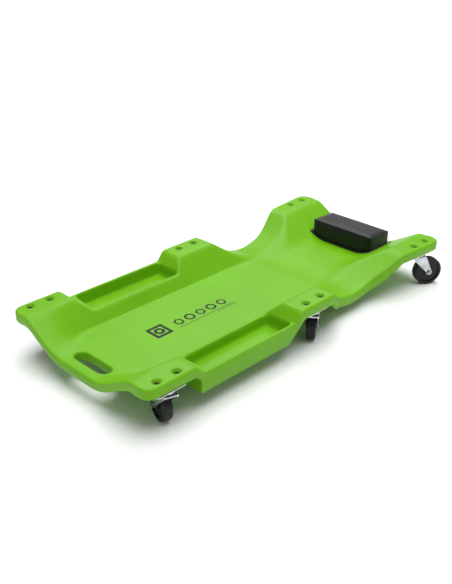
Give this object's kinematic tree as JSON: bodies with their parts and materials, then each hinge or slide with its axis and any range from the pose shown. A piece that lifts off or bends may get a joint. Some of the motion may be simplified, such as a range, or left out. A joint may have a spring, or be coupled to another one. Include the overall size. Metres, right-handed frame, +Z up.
{
  "type": "mechanics creeper",
  "caption": "Low one-piece moulded creeper deck with side tool trays, hand slot, arm cut-outs and padded headrest, on swivel casters.",
  "frame": {"origin": "on the floor under the middle of the deck", "axes": "+X from the foot end with the hand slot to the headrest end, +Y across the deck, +Z up"},
  "size_m": [1.01, 0.504, 0.117],
  "materials": {
    "deck_plastic": "moulded polyethylene, fine grain, slight sheen",
    "pillow_vinyl": "black vinyl cloth, satin",
    "pillow_foam": "open-cell foam block",
    "board_plastic": "moulded board",
    "wheel_plastic": "black moulded wheel, worn-in satin gloss",
    "zinc": "bright zinc plate on pressed steel",
    "bolt_steel": "zinc-plated fastener",
    "ball_steel": "polished ball, lightly greased"
  },
  "bodies": {
    "creeper_deck": {"deck": "deck_plastic", "mounting_bolts": "bolt_steel", "mounting_washers": "bolt_steel", "mounting_nuts": "bolt_steel", "headrest_board": "board_plastic", "headrest_foam": "pillow_foam", "headrest_cover": "pillow_vinyl", "headrest_screws": "bolt_steel", "headrest_washers": "bolt_steel", "foot_right_plate": "zinc", "foot_right_kingpin": "bolt_steel", "foot_left_plate": "zinc", "foot_left_kingpin": "bolt_steel", "mid_right_plate": "zinc", "mid_right_kingpin": "bolt_steel", "mid_left_plate": "zinc", "mid_left_kingpin": "bolt_steel", "head_right_plate": "zinc", "head_right_kingpin": "bolt_steel", "head_left_plate": "zinc", "head_left_kingpin": "bolt_steel"},
    "foot_right_ball_ring": {"foot_right_race_balls": "ball_steel"},
    "foot_right_swivel": {"foot_right_fork": "zinc", "foot_right_axle_bush": "bolt_steel", "foot_right_axle_bolt": "bolt_steel", "foot_right_axle_nut": "bolt_steel"},
    "foot_right_wheel_body": {"foot_right_wheel": "wheel_plastic"},
    "foot_left_ball_ring": {"foot_left_race_balls": "ball_steel"},
    "foot_left_swivel": {"foot_left_fork": "zinc", "foot_left_axle_bush": "bolt_steel", "foot_left_axle_bolt": "bolt_steel", "foot_left_axle_nut": "bolt_steel"},
    "foot_left_wheel_body": {"foot_left_wheel": "wheel_plastic"},
    "mid_right_ball_ring": {"mid_right_race_balls": "ball_steel"},
    "mid_right_swivel": {"mid_right_fork": "zinc", "mid_right_axle_bush": "bolt_steel", "mid_right_axle_bolt": "bolt_steel", "mid_right_axle_nut": "bolt_steel"},
    "mid_right_wheel_body": {"mid_right_wheel": "wheel_plastic"},
    "mid_left_ball_ring": {"mid_left_race_balls": "ball_steel"},
    "mid_left_swivel": {"mid_left_fork": "zinc", "mid_left_axle_bush": "bolt_steel", "mid_left_axle_bolt": "bolt_steel", "mid_left_axle_nut": "bolt_steel"},
    "mid_left_wheel_body": {"mid_left_wheel": "wheel_plastic"},
    "head_right_ball_ring": {"head_right_race_balls": "ball_steel"},
    "head_right_swivel": {"head_right_fork": "zinc", "head_right_axle_bush": "bolt_steel", "head_right_axle_bolt": "bolt_steel", "head_right_axle_nut": "bolt_steel"},
    "head_right_wheel_body": {"head_right_wheel": "wheel_plastic"},
    "head_left_ball_ring": {"head_left_race_balls": "ball_steel"},
    "head_left_swivel": {"head_left_fork": "zinc", "head_left_axle_bush": "bolt_steel", "head_left_axle_bolt": "bolt_steel", "head_left_axle_nut": "bolt_steel"},
    "head_left_wheel_body": {"head_left_wheel": "wheel_plastic"}
  },
  "joints": [
    {"name": "foot_right_swivel_turn", "type": "hinge", "parent": "creeper_deck", "child": "foot_right_swivel", "pos_m": [-0.4425, -0.207, 0.0826], "axis": [0, 0, 1], "continuous": true},
    {"name": "foot_right_ball_turn", "type": "hinge", "parent": "creeper_deck", "child": "foot_right_ball_ring", "pos_m": [-0.4425, -0.207, 0.084], "axis": [0, 0, 1], "continuous": true},
    {"name": "foot_right_wheel_roll", "type": "hinge", "parent": "foot_right_swivel", "child": "foot_right_wheel_body", "pos_m": [-0.43241, -0.17769, 0.0375], "axis": [-0.9455, 0.3256, 0], "continuous": true},
    {"name": "foot_left_swivel_turn", "type": "hinge", "parent": "creeper_deck", "child": "foot_left_swivel", "pos_m": [-0.4425, 0.207, 0.0826], "axis": [0, 0, 1], "continuous": true},
    {"name": "foot_left_ball_turn", "type": "hinge", "parent": "creeper_deck", "child": "foot_left_ball_ring", "pos_m": [-0.4425, 0.207, 0.084], "axis": [0, 0, 1], "continuous": true},
    {"name": "foot_left_wheel_roll", "type": "hinge", "parent": "foot_left_swivel", "child": "foot_left_wheel_body", "pos_m": [-0.43241, 0.17769, 0.0375], "axis": [0.9455, 0.3256, 0], "continuous": true},
    {"name": "mid_right_swivel_turn", "type": "hinge", "parent": "creeper_deck", "child": "mid_right_swivel", "pos_m": [0, -0.207, 0.0826], "axis": [0, 0, 1], "continuous": true},
    {"name": "mid_right_ball_turn", "type": "hinge", "parent": "creeper_deck", "child": "mid_right_ball_ring", "pos_m": [0, -0.207, 0.084], "axis": [0, 0, 1], "continuous": true},
    {"name": "mid_right_wheel_roll", "type": "hinge", "parent": "mid_right_swivel", "child": "mid_right_wheel_body", "pos_m": [0.02508, -0.18878, 0.0375], "axis": [-0.5878, 0.809, 0], "continuous": true},
    {"name": "mid_left_swivel_turn", "type": "hinge", "parent": "creeper_deck", "child": "mid_left_swivel", "pos_m": [0, 0.207, 0.0826], "axis": [0, 0, 1], "continuous": true},
    {"name": "mid_left_ball_turn", "type": "hinge", "parent": "creeper_deck", "child": "mid_left_ball_ring", "pos_m": [0, 0.207, 0.084], "axis": [0, 0, 1], "continuous": true},
    {"name": "mid_left_wheel_roll", "type": "hinge", "parent": "mid_left_swivel", "child": "mid_left_wheel_body", "pos_m": [0.02508, 0.18878, 0.0375], "axis": [0.5878, 0.809, 0], "continuous": true},
    {"name": "head_right_swivel_turn", "type": "hinge", "parent": "creeper_deck", "child": "head_right_swivel", "pos_m": [0.4425, -0.207, 0.0826], "axis": [0, 0, 1], "continuous": true},
    {"name": "head_right_ball_turn", "type": "hinge", "parent": "creeper_deck", "child": "head_right_ball_ring", "pos_m": [0.4425, -0.207, 0.084], "axis": [0, 0, 1], "continuous": true},
    {"name": "head_right_wheel_roll", "type": "hinge", "parent": "head_right_swivel", "child": "head_right_wheel_body", "pos_m": [0.4685, -0.22388, 0.0375], "axis": [0.5446, 0.8387, 0], "continuous": true},
    {"name": "head_left_swivel_turn", "type": "hinge", "parent": "creeper_deck", "child": "head_left_swivel", "pos_m": [0.4425, 0.207, 0.0826], "axis": [0, 0, 1], "continuous": true},
    {"name": "head_left_ball_turn", "type": "hinge", "parent": "creeper_deck", "child": "head_left_ball_ring", "pos_m": [0.4425, 0.207, 0.084], "axis": [0, 0, 1], "continuous": true},
    {"name": "head_left_wheel_roll", "type": "hinge", "parent": "head_left_swivel", "child": "head_left_wheel_body", "pos_m": [0.4685, 0.22388, 0.0375], "axis": [-0.5446, 0.8387, 0], "continuous": true}
  ],
  "couplings": [
    {"joint": "foot_right_ball_turn", "follows": "foot_right_swivel_turn", "ratio": 0.5},
    {"joint": "foot_left_ball_turn", "follows": "foot_left_swivel_turn", "ratio": 0.5},
    {"joint": "mid_right_ball_turn", "follows": "mid_right_swivel_turn", "ratio": 0.5},
    {"joint": "mid_left_ball_turn", "follows": "mid_left_swivel_turn", "ratio": 0.5},
    {"joint": "head_right_ball_turn", "follows": "head_right_swivel_turn", "ratio": 0.5},
    {"joint": "head_left_ball_turn", "follows": "head_left_swivel_turn", "ratio": 0.5}
  ]
}
